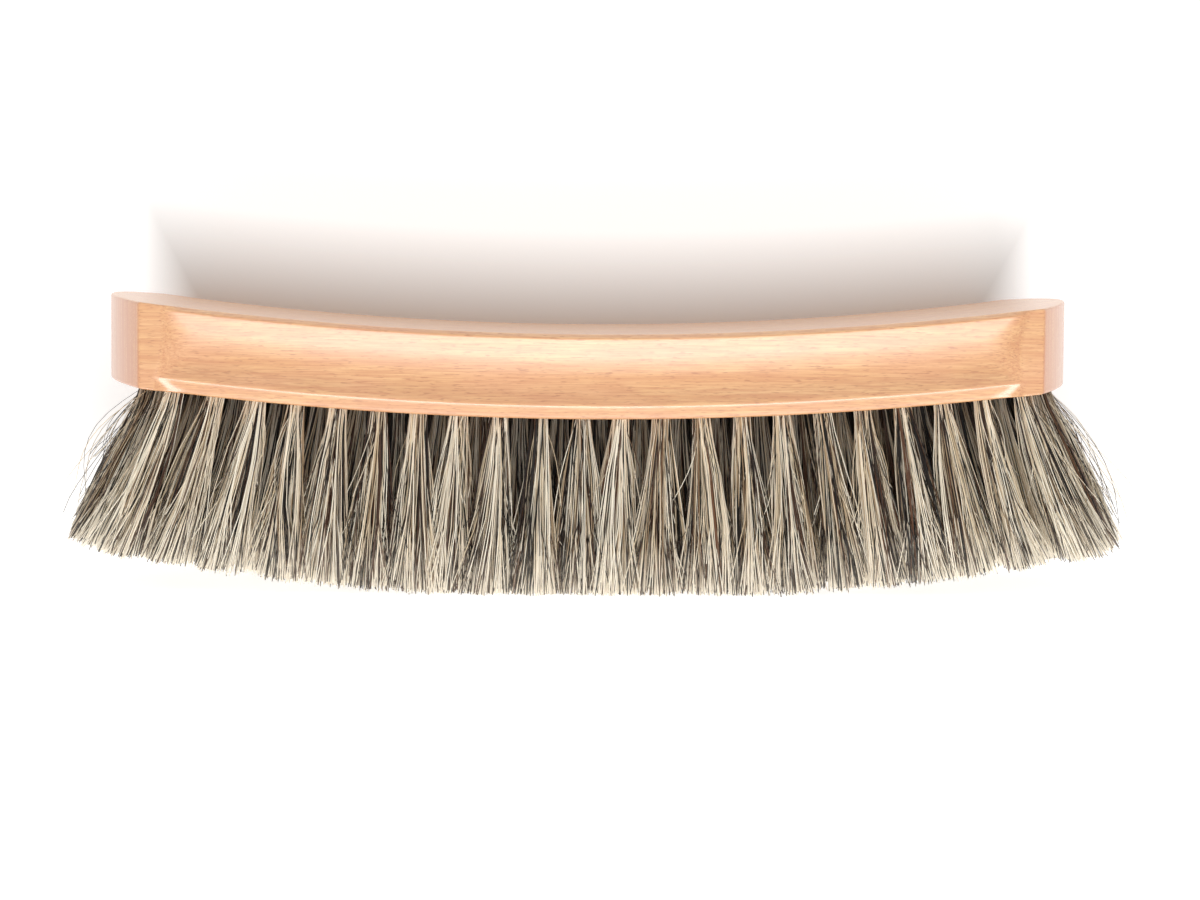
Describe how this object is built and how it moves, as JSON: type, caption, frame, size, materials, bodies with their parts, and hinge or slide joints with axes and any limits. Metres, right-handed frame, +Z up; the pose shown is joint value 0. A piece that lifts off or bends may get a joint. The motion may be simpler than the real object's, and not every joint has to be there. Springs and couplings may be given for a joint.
{
  "type": "shoe shine brush",
  "caption": "Long curved wooden brush with a finger groove along each side and fanned horsehair tufts trimmed to a gentle arc.",
  "frame": {"origin": "On the surface that the brush stands on, under the middle of the bristle field", "axes": "+X along the brush, +Y across it, +Z up from the bristle tips to the back of the block"},
  "size_m": [0.219, 0.0622, 0.0599],
  "materials": {
    "beech": "clear lacquered steamed beech, satin gloss, short dark flecks along the grain",
    "horsehair": "natural undyed horsehair, cream, light grey and dark brown hairs mixed, slight sheen",
    "anchor_wire": "plain drawn flat steel wire"
  },
  "bodies": {
    "root": {"block": "beech", "tuft_row_1": "horsehair", "tuft_row_2": "horsehair", "tuft_row_3": "horsehair", "tuft_row_4": "horsehair", "tuft_row_5": "horsehair", "tuft_row_6": "horsehair", "tuft_row_7": "horsehair", "anchor_row_1": "anchor_wire", "anchor_row_2": "anchor_wire", "anchor_row_3": "anchor_wire", "anchor_row_4": "anchor_wire", "anchor_row_5": "anchor_wire", "anchor_row_6": "anchor_wire", "anchor_row_7": "anchor_wire"}
  },
  "joints": []
}
